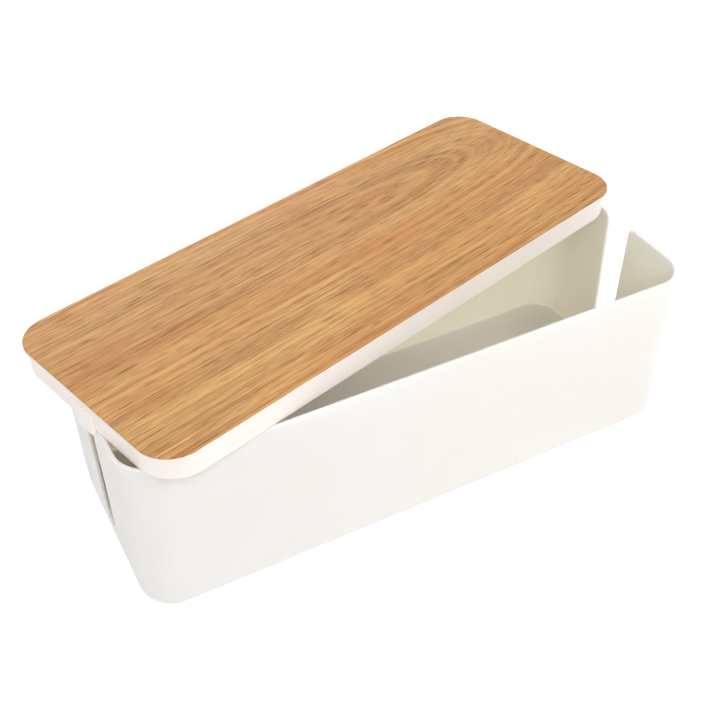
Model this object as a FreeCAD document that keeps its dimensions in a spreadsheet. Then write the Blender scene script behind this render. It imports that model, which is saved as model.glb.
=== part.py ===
import FreeCAD, Part
import math
import os
import Sketcher

# Cable management box: an open moulded box with a cable slot in each end,
# and a cap lid with a wood panel, laid askew on the rim.
# Frame: millimetres, +X along the box, +Y towards its back, +Z up.
# The origin is under the middle of the lid, on the surface the box stands on.

SIZES = [
    ("box_length", 400, "outer length at the rim"),
    ("box_width", 152.5, "outer width at the rim"),
    ("shell_height", 122.5, "base underside to rim"),
    ("draft", 0.6, "how much further in each wall is at the base than at the rim"),
    ("box_corner", 24, "outer corner radius at the rim"),
    ("wall", 2.5, "wall and floor thickness"),
    ("base_round", 4, "outer rounding where walls meet the base"),
    ("slot_width", 23, "cable slot width at the rim"),
    ("slot_taper", 2, "how much narrower each side of the slot is at its sill"),
    ("slot_sill", 12, "base underside to the sill of the slot"),
    ("slot_mouth_round", 5, "rounding of the slot's mouth at the rim"),
    ("slot_sill_round", 7, "rounding of the slot's lower corners"),
    ("rim_round", 0.6, "rounding along the rim and the slots' edges"),
    ("foot_dia", 16, "foot diameter"),
    ("foot_thick", 2, "foot thickness"),
    ("foot_recess", 0.5, "depth of the recess that locates a foot"),
    ("foot_from_end", 28, "foot centre to the end of the base"),
    ("foot_from_side", 28, "foot centre to the side of the base"),
    ("lid_length", 405.8, "outer length of the lid plate"),
    ("lid_width", 158.3, "outer width of the lid plate"),
    ("lid_corner", 23, "outer corner radius of the lid plate"),
    ("plate_thick", 2, "lid plate thickness"),
    ("plate_lip", 0.9, "how far the plate reaches past the skirt"),
    ("skirt_depth", 15.2, "lower edge of the skirt to the underside of the plate"),
    ("skirt_wall", 1.6, "skirt thickness"),
    ("skirt_corner", 25.5, "outer corner radius of the skirt"),
    ("lid_round", 1, "inner rounding where skirt meets plate"),
    ("tab_width", 19, "finger tab width"),
    ("tab_drop", 5, "how far a finger tab reaches below the skirt"),
    ("tab_rise", 11, "how far a finger tab reaches up the skirt"),
    ("tab_thick", 1.8, "finger tab thickness"),
    ("tab_proud", 1.6, "how far a finger tab stands out from the skirt"),
    ("tab_round", 3, "rounding of a finger tab's corners"),
    ("panel_inset", 0.2, "edge of the lid plate to the edge of the wood panel"),
    ("panel_thick", 1, "wood panel thickness"),
    ("glue_inset", 5, "edge of the lid plate to the edge of the adhesive"),
    ("glue_thick", 0.3, "adhesive sheet thickness, and depth of its recess"),
    ("lid_turn", 16, "turn of the lid on the box, in degrees"),
    ("lid_shift_x", -9, "lid centre from the box centre, along the box"),
    ("lid_shift_y", 36, "lid centre from the box centre, across the box"),
]

doc = FreeCAD.newDocument("CableBox")
sheet = doc.addObject("Spreadsheet::Sheet", "Sizes")
for row, (alias, size, meaning) in enumerate(SIZES, start=1):
    sheet.set(f"A{row}", meaning)
    sheet.set(f"B{row}", str(size))
    sheet.setAlias(f"B{row}", alias)
doc.recompute()

# Short names for the expressions that several sub-parts share
BASE_LENGTH = "(Sizes.box_length - 2 * Sizes.draft)"
BASE_WIDTH = "(Sizes.box_width - 2 * Sizes.draft)"
BASE_CORNER = "(Sizes.box_corner - Sizes.draft)"
SHELL_BOTTOM = "(Sizes.foot_thick - Sizes.foot_recess)"
RIM_LEVEL = "(Sizes.foot_thick - Sizes.foot_recess + Sizes.shell_height)"
SKIRT_LENGTH = "(Sizes.lid_length - 2 * Sizes.plate_lip)"
SKIRT_WIDTH = "(Sizes.lid_width - 2 * Sizes.plate_lip)"
PLATE_TOP = "(Sizes.skirt_depth + Sizes.plate_thick)"


def number(expression):
    """The present value of an expression in the sheet's terms."""
    return float(sheet.evalExpression(expression))


def new_body(label):
    body = doc.addObject("PartDesign::Body", label)
    body.Label = label
    return body


def origin_plane(body, role):
    return [part for part in body.Origin.OriginFeatures if part.Role == role][0]


def new_sketch(body, name, role, offset="0"):
    """A sketch on one of the body's own planes, moved out by an expression."""
    sketch = body.newObject("Sketcher::SketchObject", name)
    sketch.AttachmentSupport = (origin_plane(body, role), [""])
    sketch.MapMode = "FlatFace"
    sketch.setExpression("AttachmentOffset.Base.z", offset)
    return sketch


def bind(sketch, kind, refs, name, expression):
    """Adds a named dimension to a sketch and ties it to an expression."""
    index = sketch.addConstraint(Sketcher.Constraint(kind, *refs, number(expression)))
    sketch.renameConstraint(index, name)
    sketch.setExpression(f"Constraints.{name}", expression)


def rounded_rectangle(body, name, length, width, radius, level):
    """A centred rectangle with round corners, parallel to XY at a level."""
    sketch = new_sketch(body, name, "XY_Plane", level)
    half_x = number(length) / 2
    half_y = number(width) / 2
    r = number(radius)
    vec = FreeCAD.Vector
    sides = [
        (vec(-half_x + r, -half_y), vec(half_x - r, -half_y)),
        (vec(half_x, -half_y + r), vec(half_x, half_y - r)),
        (vec(half_x - r, half_y), vec(-half_x + r, half_y)),
        (vec(-half_x, half_y - r), vec(-half_x, -half_y + r)),
    ]
    for start, end in sides:
        sketch.addGeometry(Part.LineSegment(start, end), False)
    for quarter, (sign_x, sign_y) in enumerate([(1, -1), (1, 1), (-1, 1), (-1, -1)]):
        centre = vec(sign_x * (half_x - r), sign_y * (half_y - r))
        circle = Part.Circle(centre, vec(0, 0, 1), r)
        start_angle = math.radians(90 * quarter - 90)
        arc = Part.ArcOfCircle(circle, start_angle, start_angle + math.pi / 2)
        sketch.addGeometry(arc, False)
    for side in range(4):
        arc = side + 4
        sketch.addConstraint(Sketcher.Constraint("Tangent", side, 2, arc, 1))
        sketch.addConstraint(Sketcher.Constraint("Tangent", arc, 2, (side + 1) % 4, 1))
    for side in (0, 2):
        sketch.addConstraint(Sketcher.Constraint("Horizontal", side))
        sketch.addConstraint(Sketcher.Constraint("Vertical", side + 1))
    for arc in (5, 6):
        sketch.addConstraint(Sketcher.Constraint("Equal", 4, arc))
    sketch.addConstraint(Sketcher.Constraint("Symmetric", 4, 3, 6, 3, -1, 1))
    bind(sketch, "DistanceX", (3, 1, 1, 1), "overall_length", length)
    bind(sketch, "DistanceY", (0, 1, 2, 1), "overall_width", width)
    bind(sketch, "Radius", (4,), "corner", radius)
    return sketch


def draft_walls(body, name, angle):
    """Leans every wall inwards towards the base, about the rim."""
    base = body.Tip
    faces = enumerate(base.Shape.Faces, start=1)
    walls = [f"Face{index}" for index, face in faces if face.BoundBox.ZLength > 1]
    top = max(range(len(base.Shape.Faces)), key=lambda index: base.Shape.Faces[index].BoundBox.ZMin)
    feature = body.newObject("PartDesign::Draft", name)
    feature.Base = (base, walls)
    feature.NeutralPlane = (base, [f"Face{top + 1}"])
    feature.setExpression("Angle", angle)
    feature.Reversed = True
    doc.recompute()
    return feature


def pad(body, name, sketch, height, downwards=False):
    feature = body.newObject("PartDesign::Pad", name)
    feature.Profile = sketch
    feature.setExpression("Length", height)
    feature.Reversed = downwards
    doc.recompute()
    return feature


def pocket(body, name, sketch, depth, upwards=True):
    """A recess cut up or down from a level sketch, tested by its volume."""
    before = body.Shape.Volume
    feature = body.newObject("PartDesign::Pocket", name)
    feature.Profile = sketch
    feature.setExpression("Length", depth)
    feature.Reversed = upwards
    doc.recompute()
    assert body.Shape.Volume < before - 1, f"{name} cuts nothing"
    return feature


def through_cut(body, name, sketch):
    """A cut both ways from its sketch through the whole body."""
    before = body.Shape.Volume
    feature = body.newObject("PartDesign::Pocket", name)
    feature.Profile = sketch
    feature.Type = "ThroughAll"
    feature.Midplane = True
    doc.recompute()
    assert body.Shape.Volume < before - 1, f"{name} cuts nothing"
    return feature


def round_edges(body, name, radius, chosen):
    """A fillet on every edge of the body's tip that the test picks."""
    base = body.Tip
    names = []
    for index, edge in enumerate(base.Shape.Edges, start=1):
        if chosen(edge):
            names.append(f"Edge{index}")
    assert names, f"{name} finds no edge"
    feature = body.newObject("PartDesign::Fillet", name)
    feature.Base = (base, names)
    feature.setExpression("Radius", radius)
    doc.recompute()
    return feature


def hollow_out(body, name, wall):
    """Opens the body's top face and leaves an even wall inside the rest."""
    base = body.Tip
    before = body.Shape.Volume
    top = max(range(len(base.Shape.Faces)), key=lambda index: base.Shape.Faces[index].BoundBox.ZMin)
    feature = body.newObject("PartDesign::Thickness", name)
    feature.Base = (base, [f"Face{top + 1}"])
    feature.setExpression("Value", wall)
    feature.Reversed = True
    doc.recompute()
    assert body.Shape.Volume < before / 2, f"{name} hollows nothing"
    return feature


def lies_at(edge, level):
    box = edge.BoundBox
    return abs(box.ZMin - level) < 0.01 and abs(box.ZMax - level) < 0.01


def runs_along_x(edge, side, level):
    """True for a short straight edge through a wall, at +-side and a level."""
    box = edge.BoundBox
    return (lies_at(edge, level)
            and box.YLength < 0.01
            and abs(abs(box.YMin) - side) < 0.01)


def inside(edge, half_x, half_y):
    """True for an edge that keeps within a centred rectangle seen from above."""
    box = edge.BoundBox
    return max(-box.XMin, box.XMax) < half_x and max(-box.YMin, box.YMax) < half_y


def place(body, turned=False, level="0"):
    """Puts a sub-part on the box's axis, or on the lid's with its turn."""
    if turned:
        body.setExpression("Placement.Rotation.Angle", "Sizes.lid_turn")
    else:
        body.setExpression("Placement.Base.x", "-Sizes.lid_shift_x")
        body.setExpression("Placement.Base.y", "-Sizes.lid_shift_y")
    body.setExpression("Placement.Base.z", level)


def slot_outline(body):
    """The tapered outline of the cable slots, seen along the box."""
    sketch = new_sketch(body, "SlotOutline", "YZ_Plane")
    top_half = number("Sizes.slot_width") / 2
    low_half = top_half - number("Sizes.slot_taper")
    sill = number("Sizes.slot_sill")
    rim = number("Sizes.shell_height")
    corners = [
        FreeCAD.Vector(-top_half, rim),
        FreeCAD.Vector(-low_half, sill),
        FreeCAD.Vector(low_half, sill),
        FreeCAD.Vector(top_half, rim),
    ]
    for index in range(4):
        line = Part.LineSegment(corners[index], corners[(index + 1) % 4])
        sketch.addGeometry(line, False)
    for index in range(4):
        following = (index + 1) % 4
        sketch.addConstraint(Sketcher.Constraint("Coincident", index, 2, following, 1))
    sketch.addConstraint(Sketcher.Constraint("Symmetric", 0, 1, 2, 2, -2))
    sketch.addConstraint(Sketcher.Constraint("Symmetric", 1, 1, 1, 2, -2))
    bind(sketch, "DistanceX", (0, 1, 2, 2), "mouth", "Sizes.slot_width")
    bind(sketch, "DistanceX", (1, 1, 1, 2), "sill", "Sizes.slot_width - 2 * Sizes.slot_taper")
    bind(sketch, "DistanceY", (-1, 1, 1, 1), "sill_level", "Sizes.slot_sill")
    bind(sketch, "DistanceY", (-1, 1, 0, 1), "rim_level", "Sizes.shell_height")
    return sketch


def foot_centres():
    """Centres of the four feet, from the middle of the box."""
    reach_x = number(f"{BASE_LENGTH} / 2 - Sizes.foot_from_end")
    reach_y = number(f"{BASE_WIDTH} / 2 - Sizes.foot_from_side")
    return [(sign_x * reach_x, sign_y * reach_y) for sign_x in (-1, 1) for sign_y in (-1, 1)]


def foot_recess_sketch(body):
    """Four circles on the underside, one for each foot."""
    sketch = new_sketch(body, "FootCircles", "XY_Plane")
    for x, y in foot_centres():
        circle = Part.Circle(FreeCAD.Vector(x, y, 0), FreeCAD.Vector(0, 0, 1), 1)
        sketch.addGeometry(circle, False)
    end = f"{BASE_LENGTH} / 2 - Sizes.foot_from_end"
    side = f"{BASE_WIDTH} / 2 - Sizes.foot_from_side"
    for index, (x, y) in enumerate(foot_centres()):
        x_refs = (-1, 1, index, 3) if x > 0 else (index, 3, -1, 1)
        y_refs = (-1, 1, index, 3) if y > 0 else (index, 3, -1, 1)
        bind(sketch, "DistanceX", x_refs, f"along_{index}", end)
        bind(sketch, "DistanceY", y_refs, f"across_{index}", side)
        bind(sketch, "Diameter", (index,), f"dia_{index}", "Sizes.foot_dia")
    return sketch


def make_box_shell():
    """One moulding: drafted walls, round corners, and a slot in each end."""
    body = new_body("box_shell")
    outline = rounded_rectangle(body, "RimOutline", "Sizes.box_length", "Sizes.box_width",
                                "Sizes.box_corner", "0")
    pad(body, "OuterForm", outline, "Sizes.shell_height")
    draft_walls(body, "WallDraft", "atan(Sizes.draft / Sizes.shell_height)")
    round_edges(body, "BaseRound", "Sizes.base_round", lambda edge: lies_at(edge, 0))
    hollow_out(body, "Cavity", "Sizes.wall")
    through_cut(body, "CableSlots", slot_outline(body))
    sill = number("Sizes.slot_sill")
    sill_half = number("Sizes.slot_width / 2 - Sizes.slot_taper")
    round_edges(body, "SillRound", "Sizes.slot_sill_round",
                lambda edge: runs_along_x(edge, sill_half, sill))
    rim = number("Sizes.shell_height")
    mouth_half = number("Sizes.slot_width / 2")
    round_edges(body, "MouthRound", "Sizes.slot_mouth_round",
                lambda edge: runs_along_x(edge, mouth_half, rim))
    round_edges(body, "RimRound", "Sizes.rim_round", lambda edge: lies_at(edge, rim))
    pocket(body, "FootRecesses", foot_recess_sketch(body), "Sizes.foot_recess")
    place(body, level=SHELL_BOTTOM)
    return body


def make_foot(number_of_foot, x, y):
    """A plain rubber pad, stuck into its recess in the base."""
    foot = doc.addObject("Part::Cylinder", f"foot_{number_of_foot}")
    foot.Label = f"foot_{number_of_foot}"
    foot.setExpression("Radius", "Sizes.foot_dia / 2")
    foot.setExpression("Height", "Sizes.foot_thick")
    end = f"({BASE_LENGTH} / 2 - Sizes.foot_from_end)"
    side = f"({BASE_WIDTH} / 2 - Sizes.foot_from_side)"
    foot.setExpression("Placement.Base.x", f"-Sizes.lid_shift_x + {math.copysign(1, x)} * {end}")
    foot.setExpression("Placement.Base.y", f"-Sizes.lid_shift_y + {math.copysign(1, y)} * {side}")
    return foot


def tab_sketch(body, name, side):
    """The plan of one finger tab, standing a little proud of the skirt."""
    sketch = new_sketch(body, name, "XY_Plane", "-Sizes.tab_drop")
    outer = number(f"{SKIRT_LENGTH} / 2 + Sizes.tab_proud")
    inner = outer - number("Sizes.tab_thick")
    half = number("Sizes.tab_width / 2")
    corners = [(outer, -half), (outer, half), (inner, half), (inner, -half)]
    points = [FreeCAD.Vector(side * x, y) for x, y in corners]
    for index in range(4):
        line = Part.LineSegment(points[index], points[(index + 1) % 4])
        sketch.addGeometry(line, False)
    for index in range(4):
        following = (index + 1) % 4
        sketch.addConstraint(Sketcher.Constraint("Coincident", index, 2, following, 1))
    sketch.addConstraint(Sketcher.Constraint("Vertical", 2))
    for index in (1, 3):
        sketch.addConstraint(Sketcher.Constraint("Horizontal", index))
    sketch.addConstraint(Sketcher.Constraint("Symmetric", 0, 1, 0, 2, -1))
    reach = (-1, 1, 0, 1) if side > 0 else (0, 1, -1, 1)
    depth = (3, 1, 3, 2) if side > 0 else (3, 2, 3, 1)
    bind(sketch, "DistanceX", reach, "reach", f"{SKIRT_LENGTH} / 2 + Sizes.tab_proud")
    bind(sketch, "DistanceX", depth, "thickness", "Sizes.tab_thick")
    bind(sketch, "DistanceY", (0, 1, 0, 2), "tab_width", "Sizes.tab_width")
    return sketch


def make_lid_shell():
    """A shallow cap: a plate, a skirt under it and a finger tab at each end."""
    body = new_body("lid_shell")
    skirt = rounded_rectangle(body, "SkirtOutline", SKIRT_LENGTH, SKIRT_WIDTH,
                              "Sizes.skirt_corner", "0")
    pad(body, "Skirt", skirt, "Sizes.skirt_depth")
    plate = rounded_rectangle(body, "PlateOutline", "Sizes.lid_length", "Sizes.lid_width",
                              "Sizes.lid_corner", "Sizes.skirt_depth")
    pad(body, "Plate", plate, "Sizes.plate_thick")
    hollow = rounded_rectangle(body, "SkirtInside",
                               f"{SKIRT_LENGTH} - 2 * Sizes.skirt_wall",
                               f"{SKIRT_WIDTH} - 2 * Sizes.skirt_wall",
                               "Sizes.skirt_corner - Sizes.skirt_wall", "0")
    pocket(body, "LidHollow", hollow, "Sizes.skirt_depth")
    ceiling = number("Sizes.skirt_depth")
    inner_x = number(f"{SKIRT_LENGTH} / 2 - Sizes.skirt_wall / 2")
    inner_y = number(f"{SKIRT_WIDTH} / 2 - Sizes.skirt_wall / 2")
    round_edges(body, "LidRound", "Sizes.lid_round",
                lambda edge: lies_at(edge, ceiling) and inside(edge, inner_x, inner_y))
    for side, name in ((-1, "LeftTab"), (1, "RightTab")):
        pad(body, name, tab_sketch(body, f"{name}Plan", side), "Sizes.tab_drop + Sizes.tab_rise")
    drop = -number("Sizes.tab_drop")
    half = number("Sizes.tab_width / 2")
    round_edges(body, "TabRound", "Sizes.tab_round",
                lambda edge: runs_along_x(edge, half, drop))
    glue_bed = rounded_rectangle(body, "AdhesiveBed",
                                 "Sizes.lid_length - 2 * Sizes.glue_inset",
                                 "Sizes.lid_width - 2 * Sizes.glue_inset",
                                 "Sizes.lid_corner - Sizes.glue_inset", PLATE_TOP)
    pocket(body, "AdhesiveRecess", glue_bed, "Sizes.glue_thick", upwards=False)
    place(body, turned=True, level=RIM_LEVEL)
    return body


def make_sheet(label, length, width, radius, thickness, level):
    """A flat sheet with round corners that lies with the lid."""
    body = new_body(label)
    outline = rounded_rectangle(body, f"{label}_outline", length, width, radius, "0")
    pad(body, f"{label}_sheet", outline, thickness)
    place(body, turned=True, level=level)
    return body


def make_panel_adhesive():
    """The double-sided sheet that holds the panel, sunk into the plate."""
    return make_sheet("panel_adhesive",
                      "Sizes.lid_length - 2 * Sizes.glue_inset",
                      "Sizes.lid_width - 2 * Sizes.glue_inset",
                      "Sizes.lid_corner - Sizes.glue_inset",
                      "Sizes.glue_thick",
                      f"{RIM_LEVEL} + {PLATE_TOP} - Sizes.glue_thick")


def make_wood_panel():
    """The thin wood panel, covering the plate to just short of its edge."""
    return make_sheet("wood_panel",
                      "Sizes.lid_length - 2 * Sizes.panel_inset",
                      "Sizes.lid_width - 2 * Sizes.panel_inset",
                      "Sizes.lid_corner - Sizes.panel_inset",
                      "Sizes.panel_thick",
                      f"{RIM_LEVEL} + {PLATE_TOP}")


def check_document():
    for item in doc.Objects:
        bad = {"Invalid", "Error"} & set(item.State)
        assert not bad, f"{item.Name} failed: {item.State}"


def export(sub_parts):
    """Tests every sub-part's shape, then writes one file for each."""
    os.makedirs("parts", exist_ok=True)
    for part in sub_parts:
        assert not part.Shape.isNull() and part.Shape.isValid(), part.Label
        assert len(part.Shape.Solids) == 1, part.Label
    for part in sub_parts:
        part.Shape.exportStep(os.path.join("parts", f"{part.Label}.step"))
        box = part.Shape.BoundBox
        print(f"{part.Label:15s} {part.Shape.Volume / 1000:8.2f} cm3"
              f"  X {box.XMin:.2f} {box.XMax:.2f}"
              f"  Y {box.YMin:.2f} {box.YMax:.2f}"
              f"  Z {box.ZMin:.2f} {box.ZMax:.2f}")


sub_parts = [make_box_shell()]
for index, (x, y) in enumerate(foot_centres(), start=1):
    sub_parts.append(make_foot(index, x, y))
sub_parts += [make_lid_shell(), make_panel_adhesive(), make_wood_panel()]
doc.recompute()
check_document()
export(sub_parts)
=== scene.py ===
"""Dresses the cable management box on its CAD frame.

Gives the mouldings their materials, models the wood panel and the rubber feet, and sets up a
plain studio. All lengths are in metres, with the origin on the surface that the box stands on.
"""

import math

import bpy
from bpy.props import FloatProperty, FloatVectorProperty, IntProperty, PointerProperty
from mathutils import Matrix, Vector


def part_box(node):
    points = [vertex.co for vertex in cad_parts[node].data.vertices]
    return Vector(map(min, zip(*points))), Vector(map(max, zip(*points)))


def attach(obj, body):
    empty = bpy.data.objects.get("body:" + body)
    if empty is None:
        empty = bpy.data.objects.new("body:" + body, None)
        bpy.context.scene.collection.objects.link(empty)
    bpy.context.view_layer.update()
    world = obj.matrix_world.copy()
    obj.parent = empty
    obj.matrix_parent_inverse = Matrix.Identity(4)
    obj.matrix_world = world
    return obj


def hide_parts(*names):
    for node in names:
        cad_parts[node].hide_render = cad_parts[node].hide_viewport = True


bl_info = {
    "name": "Cable management box",
    "version": (1, 0, 0),
    "blender": (4, 5, 0),
    "location": "View3D > Sidebar > Cable box",
    "description": "Moulded cable box with a wood-topped cap lid, dressed on its CAD frame",
    "category": "Object",
}

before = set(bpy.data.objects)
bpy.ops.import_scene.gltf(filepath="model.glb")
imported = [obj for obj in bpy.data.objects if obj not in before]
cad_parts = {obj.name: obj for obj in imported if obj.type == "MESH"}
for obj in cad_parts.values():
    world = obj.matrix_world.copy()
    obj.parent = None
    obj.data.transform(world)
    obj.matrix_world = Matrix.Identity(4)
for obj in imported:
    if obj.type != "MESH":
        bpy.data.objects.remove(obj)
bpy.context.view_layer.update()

PANEL_NODE = "wood_panel"
FOOT_NODES = ["foot_1", "foot_2", "foot_3", "foot_4"]

# The lid lies askew on the box, turned about the vertical
LID_TURN = math.radians(16.0)

# The box's wall, its draft and its outer corner at the rim
WALL = 0.0025
WALL_SLOPE = math.tan(math.radians(0.6))
BOX_CORNER = 0.024

# The painted warm glow on the inner faces pales over the wall's upper part, where light falls
# straight in, and stops where the rim rounds over
RIM_FADE = 0.02
RIM_EDGE = 0.0004

# The camera stands at the near left, above the box, and looks down at it
CAMERA_PLACE = (-0.26209, -0.53196, 0.55999)
CAMERA_TURN = math.radians(-28.021)
CAMERA_TILT = math.radians(49.214)
CAMERA_ROLL = math.radians(-0.278)
CAMERA_SHIFT = -0.0129
SENSOR_WIDTH = 36.0

# The rings of faces under a foot, from its edge inwards: the level border, the side of the
# dish, and a ring on the dish's flat middle
DISH_BORDER = 0.0012
DISH_SIDE = 0.0004
DISH_RING = 0.0020

# The floor lies this far under the feet, and its glow grows between these distances
FLOOR_GAP = 0.0002
GLOW_START = 0.45
GLOW_END = 1.6

# Each soft square lamp: its place, the point it faces and the length of its sides
LAMPS = {
    "key_lamp": ((0.9, -0.75, 1.0), (0.05, 0.0, 0.08), 0.9),
    "fill_lamp": ((-1.3, -0.2, 0.6), (0.0, 0.0, 0.08), 1.0),
    "front_lamp": ((-0.3, -1.0, 1.05), (0.08, 0.0, 0.06), 0.8),
    "back_lamp": ((0.1, 1.35, 0.3), (0.1, 0.0, 0.08), 1.0),
}

# The heart of the tree that the panel was cut from: how far it lies beside the panel's middle
# line and below the panel, and where along it and how fast it dives
HEART_BESIDE = 0.032
HEART_DEPTH = 0.012
ARCH_START = 0.02
ARCH_DIVE = 0.75

# Depths of the relief on the adhesive film, the rubber and the oak
FILM_RIPPLE = 0.00002
RUBBER_TEXTURE = 0.00006
OAK_RELIEF = 0.00008

# How far light travels inside the white plastic, and the share of that for red, green and blue
LIGHT_REACH = 0.0062
LIGHT_REACH_BY_COLOUR = (1.0, 0.94, 0.86)

# Lengths below this count as nothing when corners are compared
HAIR = 1e-5

WHITE = (1.0, 1.0, 1.0, 1.0)

# Where nodes stand in the shader editor
NODE_SPACING = 190
SHADER_COLUMN = 14


def paint(red, green, blue):
    """A screen colour from 0 to 255 as the linear colour that Blender's sockets hold."""

    def linear(value):
        value = value / 255.0
        return value / 12.92 if value <= 0.04045 else ((value + 0.055) / 1.055) ** 2.4

    return (linear(red), linear(green), linear(blue))


# Settings that a user would change


class WoodPanelSettings(bpy.types.PropertyGroup):
    length: FloatProperty(
        name="Length",
        description="Length of the wood panel along its grain",
        default=0.4054,
        min=0.1,
        unit="LENGTH",
        subtype="DISTANCE",
    )
    width: FloatProperty(
        name="Width",
        description="Width of the wood panel across its grain",
        default=0.1579,
        min=0.05,
        unit="LENGTH",
        subtype="DISTANCE",
    )
    corner: FloatProperty(
        name="Corner radius",
        description="Radius of the panel's four corners, seen from above",
        default=0.0228,
        min=0.001,
        unit="LENGTH",
        subtype="DISTANCE",
    )
    edge_round: FloatProperty(
        name="Edge rounding",
        description="Radius worn and sanded onto the panel's upper and lower edges",
        default=0.0003,
        min=0.00005,
        unit="LENGTH",
        subtype="DISTANCE",
    )
    corner_steps: IntProperty(
        name="Corner steps",
        description="Flat steps that make up one rounded corner",
        default=24,
        min=4,
        max=64,
    )
    light_wood: FloatVectorProperty(
        name="Light wood",
        description="Colour of the pale wood between the growth rings",
        default=paint(238, 190, 124),
        size=3,
        min=0.0,
        max=1.0,
        subtype="COLOR",
    )
    dark_wood: FloatVectorProperty(
        name="Dark wood",
        description="Colour of the dark wood in the growth rings",
        default=paint(152, 94, 52),
        size=3,
        min=0.0,
        max=1.0,
        subtype="COLOR",
    )
    red_wood: FloatVectorProperty(
        name="Red wood",
        description="Colour of the redder streaks",
        default=paint(204, 134, 80),
        size=3,
        min=0.0,
        max=1.0,
        subtype="COLOR",
    )
    pore_brown: FloatVectorProperty(
        name="Pore brown",
        description="Colour inside the short open pores",
        default=paint(122, 72, 38),
        size=3,
        min=0.0,
        max=1.0,
        subtype="COLOR",
    )


class MouldingSettings(bpy.types.PropertyGroup):
    plastic_white: FloatVectorProperty(
        name="Plastic white",
        description="Colour of the moulded box and lid",
        default=paint(252, 243, 236),
        size=3,
        min=0.0,
        max=1.0,
        subtype="COLOR",
    )
    plastic_cream: FloatVectorProperty(
        name="Plastic cream",
        description="Warmer tone of the moulding where it has aged unevenly",
        default=paint(246, 235, 224),
        size=3,
        min=0.0,
        max=1.0,
        subtype="COLOR",
    )
    # Painted light: a warm tone painted on the box's inner faces that stands in for light
    # glowing through its thin walls
    painted_inner_glow: FloatVectorProperty(
        name="Inner cream",
        description="Warmer tone of the moulding's inner faces",
        default=paint(255, 244, 226),
        size=3,
        min=0.0,
        max=1.0,
        subtype="COLOR",
    )
    texture_depth: FloatProperty(
        name="Texture depth",
        description="Depth of the fine texture that the mould leaves on the plastic",
        default=0.00003,
        min=0.0,
        unit="LENGTH",
        subtype="DISTANCE",
    )
    box_light_through: FloatProperty(
        name="Light through the box",
        description="How much the box's thin walls let light through",
        default=1.0,
        min=0.0,
        max=1.0,
        subtype="FACTOR",
    )
    lid_light_through: FloatProperty(
        name="Light through the lid",
        description="How much the lid lets light through, less because the panel backs it",
        default=0.3,
        min=0.0,
        max=1.0,
        subtype="FACTOR",
    )
    film_tint: FloatVectorProperty(
        name="Film tint",
        description="Colour of the adhesive film under the wood panel",
        default=paint(217, 209, 196),
        size=3,
        min=0.0,
        max=1.0,
        subtype="COLOR",
    )


class FootSettings(bpy.types.PropertyGroup):
    edge_round: FloatProperty(
        name="Edge rounding",
        description="Radius on a foot's lower edge",
        default=0.0005,
        min=0.0001,
        unit="LENGTH",
        subtype="DISTANCE",
    )
    dish: FloatProperty(
        name="Dish depth",
        description="Depth of the shallow dish in a foot's underside",
        default=0.00025,
        min=0.0,
        unit="LENGTH",
        subtype="DISTANCE",
    )
    rubber_black: FloatVectorProperty(
        name="Rubber black",
        description="Colour of the rubber feet",
        default=paint(38, 38, 39),
        size=3,
        min=0.0,
        max=1.0,
        subtype="COLOR",
    )


class StudioSettings(bpy.types.PropertyGroup):
    floor_size: FloatProperty(
        name="Floor size",
        description="Length of the plain floor's sides",
        default=8.0,
        min=1.0,
        unit="LENGTH",
        subtype="DISTANCE",
    )
    key_power: FloatProperty(
        name="Key power",
        description="Power in watts of the large lamp at the right",
        default=9.5,
        min=0.0,
        unit="POWER",
    )
    fill_power: FloatProperty(
        name="Fill power",
        description="Power in watts of the large lamp at the left",
        default=3.9,
        min=0.0,
        unit="POWER",
    )
    front_power: FloatProperty(
        name="Front power",
        description="Power in watts of the large lamp in front, which lights the box's inside",
        default=8.8,
        min=0.0,
        unit="POWER",
    )
    back_power: FloatProperty(
        name="Back power",
        description="Power in watts of the large lamp behind, which lights the far wall",
        default=12.0,
        min=0.0,
        unit="POWER",
    )
    sky_level: FloatProperty(
        name="Sky level",
        description="Strength of the even light from all round",
        default=0.36,
        min=0.0,
    )
    lens: FloatProperty(
        name="Lens",
        description="Focal length of the camera",
        default=54.26,
        min=10.0,
        unit="CAMERA",
    )


# Node helpers


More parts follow.
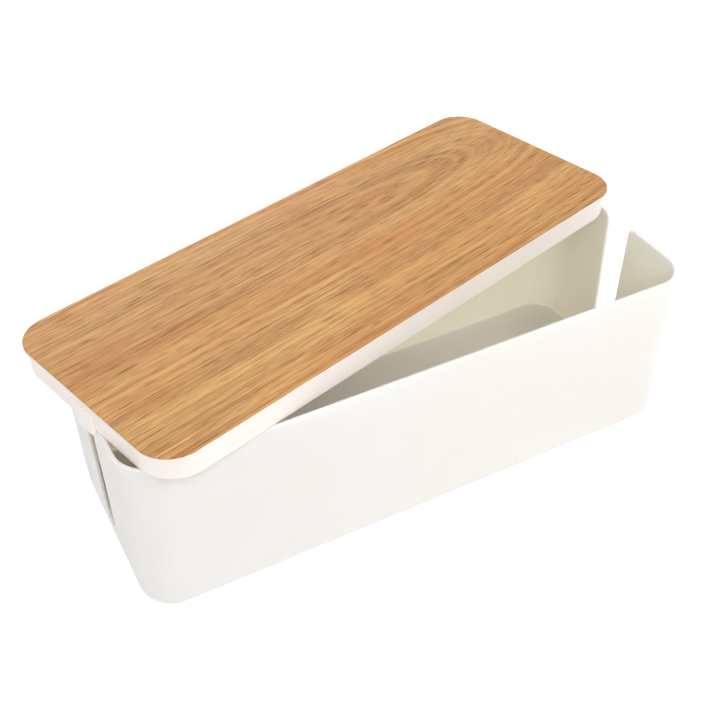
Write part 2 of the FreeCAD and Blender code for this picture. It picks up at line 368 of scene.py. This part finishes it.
class Weaver:
    """Adds nodes to one node tree and links them, left to right."""

    def __init__(self, tree):
        self.tree = tree
        self.column = 0

    def add(self, kind, values=None, **settings):
        node = self.tree.nodes.new(kind)
        node.location = (self.column * NODE_SPACING, 0)
        self.column += 1
        for name, value in settings.items():
            setattr(node, name, value)
        for socket, value in (values or {}).items():
            self.feed(node.inputs[socket], value)
        return node

    def feed(self, socket, value):
        """Links another node's socket, or sets a plain value."""
        if isinstance(value, bpy.types.NodeSocket):
            self.tree.links.new(value, socket)
        else:
            socket.default_value = value

    def calc(self, operation, *values):
        """The result of one arithmetic step."""
        node = self.add("ShaderNodeMath", operation=operation)
        for socket, value in zip(node.inputs, values):
            self.feed(socket, value)
        return node.outputs[0]

    def spread(self, value, low, high, to_low=0.0, to_high=1.0):
        """A value stretched from one range to another and held inside it."""
        node = self.add(
            "ShaderNodeMapRange",
            {
                "Value": value,
                "From Min": low,
                "From Max": high,
                "To Min": to_low,
                "To Max": to_high,
            },
        )
        return node.outputs["Result"]

    def blend(self, share, first, second):
        """Two colours mixed by a share, through the Mix node's sockets for colours."""
        node = self.add("ShaderNodeMix", data_type="RGBA")
        self.feed(node.inputs[0], share)
        self.feed(node.inputs[6], first)
        self.feed(node.inputs[7], second)
        return node.outputs[2]

    def noise(self, vector, detail=2.0, roughness=0.5, scale=1.0):
        """Noise in space."""
        node = self.add(
            "ShaderNodeTexNoise",
            {"Vector": vector, "Scale": scale, "Detail": detail, "Roughness": roughness},
        )
        return node.outputs[0]

    def line_noise(self, place, scale, detail, roughness=0.5):
        """Noise along one number."""
        node = self.add(
            "ShaderNodeTexNoise",
            {"Scale": scale, "Detail": detail, "Roughness": roughness},
            noise_dimensions="1D",
        )
        self.feed(node.inputs["W"], place)
        return node.outputs[0]

    def point(self, x, y, z):
        """Three numbers as one place."""
        return self.add("ShaderNodeCombineXYZ", {"X": x, "Y": y, "Z": z}).outputs[0]

    def length(self, first, second):
        """How long a step is that goes these two ways at once."""
        squares = [self.calc("POWER", value, 2.0) for value in (first, second)]
        return self.calc("SQRT", self.calc("ADD", *squares))


def new_group(name, inputs, outputs):
    """An empty shader node group: (group, its input node, its output node, its weaver).

    Each socket is given as its name, its kind and its value.
    """
    group = bpy.data.node_groups.new(name, "ShaderNodeTree")
    for kind, sockets in (("INPUT", inputs), ("OUTPUT", outputs)):
        for socket, value_type, value in sockets:
            made = group.interface.new_socket(
                name=socket, in_out=kind, socket_type=value_type
            )
            if value is not None:
                made.default_value = value
    weaver = Weaver(group)
    entry = weaver.add("NodeGroupInput")
    leave = group.nodes.new("NodeGroupOutput")
    return group, entry, leave, weaver


def finish_group(weaver, leave, results):
    """Sends a group's results to its output node."""
    leave.location = (weaver.column * NODE_SPACING, 0)
    for socket, value in results.items():
        weaver.feed(leave.inputs[socket], value)


def use_group(weaver, name, values):
    """Places a shared node group, which is built the first time that it is asked for."""
    group = bpy.data.node_groups.get(name) or SHARED_GROUPS[name](name)
    node = weaver.add("ShaderNodeGroup", node_tree=group)
    for socket, value in values.items():
        weaver.feed(node.inputs[socket], value)
    return node


def stretched_noise(w, x, y, along, across, detail):
    """Noise drawn out along the panel, with its own fineness along and across."""
    place = w.point(w.calc("MULTIPLY", x, along), w.calc("MULTIPLY", y, across), 0.0)
    return w.noise(place, detail=detail, roughness=0.6)


def grain_group(name):
    """Straight oak-like grain: rings cut lengthwise, fibres, redder streaks and dark pores."""
    group, entry, leave, w = new_group(
        name,
        [
            ("Vector", "NodeSocketVector", None),
            ("Light", "NodeSocketColor", WHITE),
            ("Dark", "NodeSocketColor", WHITE),
            ("Red", "NodeSocketColor", WHITE),
            ("Pore", "NodeSocketColor", WHITE),
        ],
        [
            ("Color", "NodeSocketColor", None),
            ("Pores", "NodeSocketFloat", None),
            ("Height", "NodeSocketFloat", None),
        ],
    )
    place = w.add("ShaderNodeSeparateXYZ", {"Vector": entry.outputs["Vector"]})
    x, y = place.outputs["X"], place.outputs["Y"]
    # The rings wander by about 2 mm to each side, and run round a heart that lies under the
    # panel and dives away near one end, where they close into an arch
    drift = w.noise(w.point(w.calc("MULTIPLY", x, 4.0), w.calc("MULTIPLY", y, 11.0), 0.0))
    drift = w.spread(drift, 0.2, 0.8, -0.0022, 0.0022)
    beside = w.calc("ADD", w.calc("ADD", y, drift), -HEART_BESIDE)
    past = w.calc("MAXIMUM", w.calc("ADD", x, -ARCH_START), 0.0)
    depth = w.calc("MULTIPLY_ADD", w.calc("POWER", past, 2.0), ARCH_DIVE, HEART_DEPTH)
    ring = w.length(beside, depth)
    broad = w.spread(w.line_noise(ring, 70.0, 1.0), 0.3, 0.7)
    rings = w.spread(w.line_noise(ring, 300.0, 2.0, 0.6), 0.32, 0.68)
    # Fibres and pores run straight along the panel, whatever the rings do
    line = w.calc("ADD", y, w.calc("MULTIPLY", drift, 0.7))
    fibre = w.spread(stretched_noise(w, x, line, 12.0, 1300.0, 5.0), 0.36, 0.64)
    strand = w.spread(stretched_noise(w, x, line, 36.0, 3000.0, 3.0), 0.36, 0.64)
    pores = w.spread(stretched_noise(w, x, line, 50.0, 2300.0, 1.0), 0.55, 0.62)
    pores = w.calc("MULTIPLY", pores, w.spread(rings, 0.25, 0.75, 0.3, 1.0))
    cloud = w.spread(stretched_noise(w, x, y, 6.0, 30.0, 2.0), 0.3, 0.7)
    layers = ((broad, 0.2), (rings, 0.13), (fibre, 0.3), (strand, 0.3), (cloud, 0.12))
    tone = 0.0
    for layer, weight in layers:
        tone = w.calc("MULTIPLY_ADD", layer, weight, tone)
    share = w.spread(tone, 0.2, 0.9)
    colour = w.blend(share, entry.outputs["Light"], entry.outputs["Dark"])
    blush = w.spread(stretched_noise(w, x, y, 3.5, 42.0, 2.0), 0.42, 0.66, 0.0, 0.45)
    colour = w.blend(blush, colour, entry.outputs["Red"])
    colour = w.blend(w.calc("MULTIPLY", pores, 0.8), colour, entry.outputs["Pore"])
    height = w.calc("MULTIPLY", fibre, 0.3)
    height = w.calc("MULTIPLY_ADD", pores, -0.8, height)
    finish_group(w, leave, {"Color": colour, "Pores": pores, "Height": height})
    return group


def speckle_group(name):
    """The fine even texture that a spark-eroded mould leaves, over a softer unevenness."""
    group, entry, leave, w = new_group(
        name,
        [
            ("Vector", "NodeSocketVector", None),
            ("Fineness", "NodeSocketFloat", 2500.0),
        ],
        [("Height", "NodeSocketFloat", None), ("Mask", "NodeSocketFloat", None)],
    )
    fine = w.noise(
        entry.outputs["Vector"], detail=3.0, roughness=0.6, scale=entry.outputs["Fineness"]
    )
    soft = w.noise(entry.outputs["Vector"], scale=55.0)
    height = w.calc("MULTIPLY_ADD", soft, 0.6, w.calc("MULTIPLY", fine, 0.5))
    mask = w.spread(fine, 0.3, 0.7)
    finish_group(w, leave, {"Height": height, "Mask": mask})
    return group


def handling_group(name):
    """Faint smudges and hairline scratches from handling: masks that are mostly dark."""
    group, entry, leave, w = new_group(
        name,
        [
            ("Vector", "NodeSocketVector", None),
            ("Smudges", "NodeSocketFloat", 1.0),
            ("Scratches", "NodeSocketFloat", 1.0),
        ],
        [("Mask", "NodeSocketFloat", None), ("Scratch", "NodeSocketFloat", None)],
    )
    vector = entry.outputs["Vector"]
    smudge = w.spread(w.noise(vector, detail=3.0, roughness=0.55, scale=16.0), 0.48, 0.75)
    scratch = 0.0
    for turn, scale in ((0.5, 22.0), (-0.9, 31.0)):
        turned = w.add(
            "ShaderNodeMapping",
            {"Vector": vector, "Rotation": (0.3, 0.2, turn), "Scale": (scale, 1.4, scale)},
        )
        cells = w.add(
            "ShaderNodeTexVoronoi",
            {"Vector": turned.outputs[0], "Scale": 1.0},
            feature="DISTANCE_TO_EDGE",
        )
        line = w.spread(cells.outputs["Distance"], 0.0, 0.008, 1.0, 0.0)
        gate = w.spread(w.noise(vector, detail=1.0, scale=scale * 0.8), 0.56, 0.66)
        scratch = w.calc("MAXIMUM", scratch, w.calc("MULTIPLY", line, gate))
    scratch = w.calc("MULTIPLY", scratch, entry.outputs["Scratches"])
    mask = w.calc("MULTIPLY", smudge, entry.outputs["Smudges"])
    mask = w.calc("MAXIMUM", mask, scratch)
    finish_group(w, leave, {"Mask": mask, "Scratch": scratch})
    return group


def painted_glow_group(name):
    """A mask for the painted warm glow: white on the box's inner faces, all that lies inside
    the walls' middle, and paler towards the rim.
    """
    group, entry, leave, w = new_group(
        name,
        [("Vector", "NodeSocketVector", None)],
        [("Mask", "NodeSocketFloat", None)],
    )
    low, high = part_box("box_shell")
    centre = (low + high) / 2
    place = w.add("ShaderNodeSeparateXYZ", {"Vector": entry.outputs["Vector"]})
    x, y, z = place.outputs
    drawn_in = w.calc("MULTIPLY_ADD", z, -WALL_SLOPE, high.z * WALL_SLOPE)
    middle_corner = BOX_CORNER - WALL / 2
    soft = 0.0002
    steps = []
    for value, middle, half in (
        (x, centre.x, (high.x - low.x) / 2),
        (y, centre.y, (high.y - low.y) / 2),
    ):
        away = w.calc("ABSOLUTE", w.calc("ADD", value, -middle))
        past_arc = w.calc("ADD", away, BOX_CORNER - half)
        steps.append(w.calc("MAXIMUM", w.calc("ADD", past_arc, drawn_in), 0.0))
    walls = w.spread(
        w.length(*steps), middle_corner - soft, middle_corner + soft, 1.0, 0.0
    )
    floor = w.spread(z, low.z + WALL / 2, low.z + WALL / 2 + soft)
    # Painted light: the glow drops to 0.45 near the rim, where light falls straight onto the
    # inner wall
    rim = w.spread(z, high.z - RIM_FADE, high.z - RIM_EDGE, 1.0, 0.45)
    top = w.spread(z, high.z - 2 * RIM_EDGE, high.z - RIM_EDGE, 1.0, 0.0)
    mask = w.calc("MULTIPLY", w.calc("MULTIPLY", walls, floor), w.calc("MULTIPLY", rim, top))
    finish_group(w, leave, {"Mask": mask})
    return group


SHARED_GROUPS = {
    "straight_wood_grain": grain_group,
    "moulded_speckle": speckle_group,
    "handling_marks": handling_group,
    "painted_glow_on_inner_faces": painted_glow_group,
}


def empty_tree(owner):
    """Clears the nodes of a material or a world, and gives the weaver that makes new ones."""
    owner.use_nodes = True
    owner.node_tree.nodes.clear()
    return Weaver(owner.node_tree)


def new_material(name):
    """A material with its Principled shader: (material, weaver, shader, object coordinates)."""
    material = bpy.data.materials.new(name)
    weaver = empty_tree(material)
    coordinates = weaver.add("ShaderNodeTexCoord").outputs["Object"]
    shader = weaver.tree.nodes.new("ShaderNodeBsdfPrincipled")
    shader.location = (SHADER_COLUMN * NODE_SPACING, 0)
    surface = weaver.tree.nodes.new("ShaderNodeOutputMaterial")
    surface.location = ((SHADER_COLUMN + 2) * NODE_SPACING, 0)
    weaver.feed(surface.inputs["Surface"], shader.outputs[0])
    return material, weaver, shader, coordinates


def bump(weaver, shader, height, distance):
    """Raises and sinks the surface by a height, where 1 is the given distance."""
    node = weaver.add("ShaderNodeBump", {"Distance": distance, "Height": height})
    weaver.feed(shader.inputs["Normal"], node.outputs[0])


def white_plastic_material(name, settings, light_through):
    """Satin white moulded plastic, a little unevenly aged, that lets some light through, with a
    warm glow painted on its inner faces.
    """
    material, w, shader, place = new_material(name)
    speckle = use_group(w, "moulded_speckle", {"Vector": place, "Fineness": 2600.0})
    marks = use_group(
        w, "handling_marks", {"Vector": place, "Smudges": 0.8, "Scratches": 0.7}
    )
    ageing = w.spread(w.noise(place, detail=3.0, scale=9.0), 0.3, 0.7)
    flecks = w.spread(w.noise(place, detail=1.0, scale=900.0), 0.7, 0.8)
    share = w.calc("MULTIPLY_ADD", flecks, 0.5, w.calc("MULTIPLY", ageing, 0.5))
    share = w.calc("MULTIPLY_ADD", marks.outputs["Scratch"], 0.5, share)
    colour = w.blend(
        w.spread(share, 0.0, 1.0),
        (*settings.plastic_white, 1.0),
        (*settings.plastic_cream, 1.0),
    )
    # Painted light: the inner faces are tinted warm to stand in for light glowing through the
    # walls
    inner = use_group(w, "painted_glow_on_inner_faces", {"Vector": place})
    colour = w.blend(inner.outputs["Mask"], colour, (*settings.painted_inner_glow, 1.0))
    rough = w.calc("MULTIPLY_ADD", speckle.outputs["Mask"], 0.08, 0.4)
    rough = w.calc("MULTIPLY_ADD", marks.outputs["Mask"], -0.09, rough)
    w.feed(shader.inputs["Base Color"], colour)
    w.feed(shader.inputs["Roughness"], rough)
    shader.inputs["Specular IOR Level"].default_value = 0.4
    shader.inputs["Subsurface Weight"].default_value = light_through
    shader.inputs["Subsurface Radius"].default_value = LIGHT_REACH_BY_COLOUR
    shader.inputs["Subsurface Scale"].default_value = LIGHT_REACH
    height = w.calc(
        "MULTIPLY_ADD", marks.outputs["Scratch"], -0.35, speckle.outputs["Height"]
    )
    bump(w, shader, height, settings.texture_depth)
    return material


def film_material(settings):
    """Adhesive film: slightly cloudy, with the ripple of its carrier."""
    material, w, shader, place = new_material("cloudy_adhesive_film")
    speckle = use_group(w, "moulded_speckle", {"Vector": place, "Fineness": 900.0})
    cloud = w.spread(w.noise(place, detail=3.0, scale=120.0), 0.35, 0.65)
    glue_brown = (0.5, 0.44, 0.34, 1.0)
    share = w.calc("MULTIPLY", cloud, 0.35)
    rough = w.calc("MULTIPLY_ADD", speckle.outputs["Mask"], 0.15, 0.3)
    w.feed(
        shader.inputs["Base Color"], w.blend(share, (*settings.film_tint, 1.0), glue_brown)
    )
    w.feed(shader.inputs["Roughness"], rough)
    bump(w, shader, speckle.outputs["Height"], FILM_RIPPLE)
    return material


def rubber_material(settings):
    """Matt black rubber with pale dust in its pores."""
    material, w, shader, place = new_material("black_foot_rubber")
    speckle = use_group(w, "moulded_speckle", {"Vector": place, "Fineness": 1800.0})
    marks = use_group(
        w, "handling_marks", {"Vector": place, "Smudges": 1.0, "Scratches": 0.4}
    )
    pits = w.spread(w.noise(place, detail=3.0, scale=420.0), 0.52, 0.72)
    dust = w.calc("MULTIPLY", pits, 0.16)
    dust = w.calc("MULTIPLY_ADD", marks.outputs["Mask"], 0.05, dust)
    dust_grey = (*paint(128, 124, 118), 1.0)
    rough = w.calc("MULTIPLY_ADD", speckle.outputs["Mask"], 0.14, 0.7)
    w.feed(
        shader.inputs["Base Color"], w.blend(dust, (*settings.rubber_black, 1.0), dust_grey)
    )
    w.feed(shader.inputs["Roughness"], rough)
    shader.inputs["Specular IOR Level"].default_value = 0.35
    bump(w, shader, speckle.outputs["Height"], RUBBER_TEXTURE)
    return material


def oak_material(settings):
    """Satin oak with its grain along the panel's length."""
    material, w, shader, place = new_material("straight_grained_oak")
    turned = w.add(
        "ShaderNodeMapping", {"Vector": place, "Rotation": (0.0, 0.0, -LID_TURN)}
    )
    along = turned.outputs[0]
    grain = use_group(
        w,
        "straight_wood_grain",
        {
            "Vector": along,
            "Light": (*settings.light_wood, 1.0),
            "Dark": (*settings.dark_wood, 1.0),
            "Red": (*settings.red_wood, 1.0),
            "Pore": (*settings.pore_brown, 1.0),
        },
    )
    marks = use_group(
        w, "handling_marks", {"Vector": along, "Smudges": 0.7, "Scratches": 0.25}
    )
    w.feed(shader.inputs["Base Color"], grain.outputs["Color"])
    rough = w.calc("MULTIPLY_ADD", grain.outputs["Pores"], 0.2, 0.56)
    rough = w.calc("MULTIPLY_ADD", marks.outputs["Mask"], -0.06, rough)
    w.feed(shader.inputs["Roughness"], rough)
    shader.inputs["Specular IOR Level"].default_value = 0.25
    bump(w, shader, grain.outputs["Height"], OAK_RELIEF)
    return material


def seen_rays(w):
    """1 for rays from the camera, from a glossy surface and through a clear one, or else 0."""
    path = w.add("ShaderNodeLightPath")
    seen = w.calc("MAXIMUM", path.outputs["Is Camera Ray"], path.outputs["Is Glossy Ray"])
    return w.calc("MAXIMUM", seen, path.outputs["Is Transmission Ray"])


def floor_material():
    """Plain white floor that looks white and keeps the object's shadow."""
    material = bpy.data.materials.new("plain_studio_floor")
    w = empty_tree(material)
    place = w.add("ShaderNodeTexCoord").outputs["Object"]
    grit = w.spread(w.noise(place, scale=35.0), 0.3, 0.7)
    matt = w.add("ShaderNodeBsdfDiffuse")
    w.feed(
        matt.inputs["Color"],
        w.blend(grit, (0.8, 0.8, 0.8, 1.0), (0.78, 0.78, 0.78, 1.0)),
    )
    # The glow makes up for lamplight, so it grows where the lamps' light gives out
    away = w.add("ShaderNodeVectorMath", {0: place}, operation="LENGTH").outputs["Value"]
    level = w.spread(away, GLOW_START, GLOW_END, 0.52, 0.85)
    strength = w.calc("MULTIPLY", seen_rays(w), level)
    glow = w.add("ShaderNodeEmission", {"Color": WHITE, "Strength": strength})
    both = w.add("ShaderNodeAddShader", {0: matt.outputs[0], 1: glow.outputs[0]})
    w.add("ShaderNodeOutputMaterial", {"Surface": both.outputs[0]})
    return material


def sky(level):
    """An even pale sky that the camera and reflections see as white."""
    world = bpy.data.worlds.new("plain_studio_sky")
    bpy.context.scene.world = world
    w = empty_tree(world)
    strength = w.spread(seen_rays(w), 0.0, 1.0, level, 1.0)
    back = w.add("ShaderNodeBackground", {"Color": WHITE, "Strength": strength})
    w.add("ShaderNodeOutputWorld", {"Surface": back.outputs[0]})


# Modelling helpers


def clear_selection():
    """Leaves nothing selected, in object mode."""
    if bpy.context.object and bpy.context.object.mode != "OBJECT":
        bpy.ops.object.mode_set(mode="OBJECT")
    bpy.ops.object.select_all(action="DESELECT")


def select_in_edit(piece, kind, wanted):
    """Selects exactly the faces or edges that wanted(item, mesh) picks, in edit mode."""
    bpy.ops.object.mode_set(mode="OBJECT")
    mesh = piece.data
    for group in (mesh.vertices, mesh.edges, mesh.polygons):
        group.foreach_set("select", [False] * len(group))
    items = mesh.polygons if kind == "FACE" else mesh.edges
    picked = [item for item in items if wanted(item, mesh)]
    if not picked:
        raise RuntimeError(f"nothing to select on {piece.name}")
    for item in picked:
        item.select = True
    bpy.ops.object.mode_set(mode="EDIT")
    bpy.ops.mesh.select_mode(type=kind)


def heights(edge, mesh):
    """The heights of an edge's two ends."""
    return [mesh.vertices[index].co.z for index in edge.vertices]


def settle(piece):
    """Puts a piece's place, turn and size into its mesh."""
    bpy.ops.object.mode_set(mode="OBJECT")
    bpy.ops.object.transform_apply(location=True, rotation=True, scale=True)
    piece.location = (0.0, 0.0, 0.0)


def wear(piece, material):
    """Gives a piece one material and no other."""
    piece.data.materials.clear()
    piece.data.materials.append(material)


# Operators


class CABLEBOX_OT_stage(bpy.types.Operator):
    """Make the camera, the plain floor, the even sky and the soft lamps"""

    bl_idname = "cablebox.stage"
    bl_label = "Set up the studio"

    def execute(self, context):
        settings = context.scene.cablebox_studio
        clear_selection()
        bpy.ops.object.camera_add(location=CAMERA_PLACE)
        camera = context.object
        camera.name = "studio_camera"
        camera.matrix_world = (
            Matrix.Translation(CAMERA_PLACE)
            @ Matrix.Rotation(CAMERA_TURN, 4, "Z")
            @ Matrix.Rotation(CAMERA_TILT, 4, "X")
            @ Matrix.Rotation(CAMERA_ROLL, 4, "Z")
        )
        camera.data.sensor_width = SENSOR_WIDTH
        camera.data.lens = settings.lens
        camera.data.shift_x = CAMERA_SHIFT
        camera.data.clip_start, camera.data.clip_end = 0.01, 50.0
        context.scene.camera = camera

        clear_selection()
        bpy.ops.mesh.primitive_plane_add(
            size=settings.floor_size, location=(0.0, 0.0, -FLOOR_GAP)
        )
        floor = context.object
        floor.name = "studio_floor"
        wear(floor, floor_material())

        sky(settings.sky_level)
        powers = {
            "key_lamp": settings.key_power,
            "fill_lamp": settings.fill_power,
            "front_lamp": settings.front_power,
            "back_lamp": settings.back_power,
        }
        for name, (place, aim, size) in LAMPS.items():
            clear_selection()
            bpy.ops.object.light_add(type="AREA", location=place)
            lamp = context.object
            lamp.name = name
            lamp.data.size = size
            lamp.data.energy = powers[name]
            lamp.rotation_mode = "QUATERNION"
            lamp.rotation_quaternion = (Vector(aim) - Vector(place)).to_track_quat("-Z", "Y")

        context.scene.view_settings.view_transform = "Standard"
        return {"FINISHED"}


class CABLEBOX_OT_mouldings(bpy.types.Operator):
    """Give the box, the lid cap and the adhesive film their materials"""

    bl_idname = "cablebox.mouldings"
    bl_label = "Dress the mouldings"

    def execute(self, context):
        settings = context.scene.cablebox_moulding
        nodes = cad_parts
        for node, name, light_through in (
            ("box_shell", "white_box_plastic", settings.box_light_through),
            ("lid_shell", "white_lid_plastic", settings.lid_light_through),
        ):
            wear(nodes[node], white_plastic_material(name, settings, light_through))
        wear(nodes["panel_adhesive"], film_material(settings))
        return {"FINISHED"}


class CABLEBOX_OT_feet(bpy.types.Operator):
    """Model one rubber foot and copy it to the box's four corners"""

    bl_idname = "cablebox.feet"
    bl_label = "Model the feet"

    def execute(self, context):
        settings = context.scene.cablebox_foot
        low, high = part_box(FOOT_NODES[0])
        centre = (low + high) / 2
        radius = (high.x - low.x) / 2
        clear_selection()
        bpy.ops.mesh.primitive_cylinder_add(
            vertices=64, radius=radius, depth=high.z - low.z, location=centre
        )
        foot = context.object
        foot.name = "rubber_" + FOOT_NODES[0]
        settle(foot)
        bottom = low.z + HAIR
        select_in_edit(foot, "EDGE", lambda edge, mesh: max(heights(edge, mesh)) < bottom)
        bpy.ops.mesh.bevel(offset=settings.edge_round, segments=4, profile=0.5)
        select_in_edit(
            foot,
            "FACE",
            lambda face, mesh: face.normal.z < -0.99 and face.center.z < bottom,
        )
        bpy.ops.mesh.inset(thickness=DISH_BORDER)
        bpy.ops.mesh.inset(thickness=DISH_SIDE)
        bpy.ops.transform.translate(value=(0.0, 0.0, settings.dish))
        bpy.ops.mesh.inset(thickness=DISH_RING)
        bpy.ops.object.mode_set(mode="OBJECT")
        bpy.ops.object.shade_smooth_by_angle(angle=math.radians(35.0))
        wear(foot, rubber_material(settings))
        feet = [foot]
        for node in FOOT_NODES[1:]:
            clear_selection()
            foot.select_set(True)
            context.view_layer.objects.active = foot
            bpy.ops.object.duplicate(linked=False)
            copy = context.object
            copy.name = "rubber_" + node
            there_low, there_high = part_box(node)
            copy.location = (there_low + there_high) / 2 - centre
            settle(copy)
            feet.append(copy)
        for piece, node in zip(feet, FOOT_NODES):
            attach(piece, "box")
            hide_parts(node)
        return {"FINISHED"}


class CABLEBOX_OT_panel(bpy.types.Operator):
    """Model the thin wood panel on the lid, with its rounded corners and sanded edges"""

    bl_idname = "cablebox.panel"
    bl_label = "Model the wood panel"

    def execute(self, context):
        settings = context.scene.cablebox_panel
        low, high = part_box(PANEL_NODE)
        centre = (low + high) / 2
        clear_selection()
        bpy.ops.mesh.primitive_cube_add(
            size=1.0,
            location=(0.0, 0.0, 0.0),
            scale=(settings.length, settings.width, high.z - low.z),
        )
        panel = context.object
        panel.name = "oak_top_panel"
        settle(panel)
        select_in_edit(
            panel,
            "EDGE",
            lambda edge, mesh: max(heights(edge, mesh)) - min(heights(edge, mesh)) > HAIR,
        )
        bpy.ops.mesh.bevel(
            offset=settings.corner,
            segments=settings.corner_steps,
            profile=0.5,
            clamp_overlap=False,
        )
        outer = (high.z - low.z) / 2 - HAIR
        select_in_edit(
            panel,
            "EDGE",
            lambda edge, mesh: min(heights(edge, mesh)) > outer
            or max(heights(edge, mesh)) < -outer,
        )
        bpy.ops.mesh.bevel(
            offset=settings.edge_round,
            segments=4,
            profile=0.5,
            clamp_overlap=False,
            miter_outer="SHARP",
        )
        bpy.ops.object.mode_set(mode="OBJECT")
        panel.rotation_euler = (0.0, 0.0, LID_TURN)
        panel.location = centre
        settle(panel)
        bpy.ops.object.shade_smooth_by_angle(angle=math.radians(40.0))
        wear(panel, oak_material(settings))
        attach(panel, "lid")
        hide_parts(PANEL_NODE)
        return {"FINISHED"}


class CABLEBOX_PT_sidebar(bpy.types.Panel):
    """Lists the steps that dress the box"""

    bl_idname = "CABLEBOX_PT_sidebar"
    bl_label = "Cable box"
    bl_space_type = "VIEW_3D"
    bl_region_type = "UI"
    bl_category = "Cable box"

    def draw(self, context):
        layout = self.layout
        scene = context.scene
        for operator, group in STEPS:
            column = layout.column(align=True)
            column.operator(operator)
            settings = getattr(scene, group)
            for name in settings.bl_rna.properties.keys():
                if name not in ("rna_type", "name"):
                    column.prop(settings, name)


STEPS = (
    ("cablebox.stage", "cablebox_studio"),
    ("cablebox.mouldings", "cablebox_moulding"),
    ("cablebox.feet", "cablebox_foot"),
    ("cablebox.panel", "cablebox_panel"),
)

SETTINGS = {
    "cablebox_studio": StudioSettings,
    "cablebox_moulding": MouldingSettings,
    "cablebox_foot": FootSettings,
    "cablebox_panel": WoodPanelSettings,
}

CLASSES = (
    *SETTINGS.values(),
    CABLEBOX_OT_stage,
    CABLEBOX_OT_mouldings,
    CABLEBOX_OT_feet,
    CABLEBOX_OT_panel,
    CABLEBOX_PT_sidebar,
)


def register():
    for made in CLASSES:
        bpy.utils.register_class(made)
    for name, group in SETTINGS.items():
        setattr(bpy.types.Scene, name, PointerProperty(type=group))


def unregister():
    for name in SETTINGS:
        delattr(bpy.types.Scene, name)
    for made in reversed(CLASSES):
        bpy.utils.unregister_class(made)


def main():
    register()
    bpy.ops.cablebox.stage()
    bpy.ops.cablebox.mouldings()
    bpy.ops.cablebox.feet()
    bpy.ops.cablebox.panel()
    bpy.context.view_layer.update()


if __name__ == "__main__":
    main()
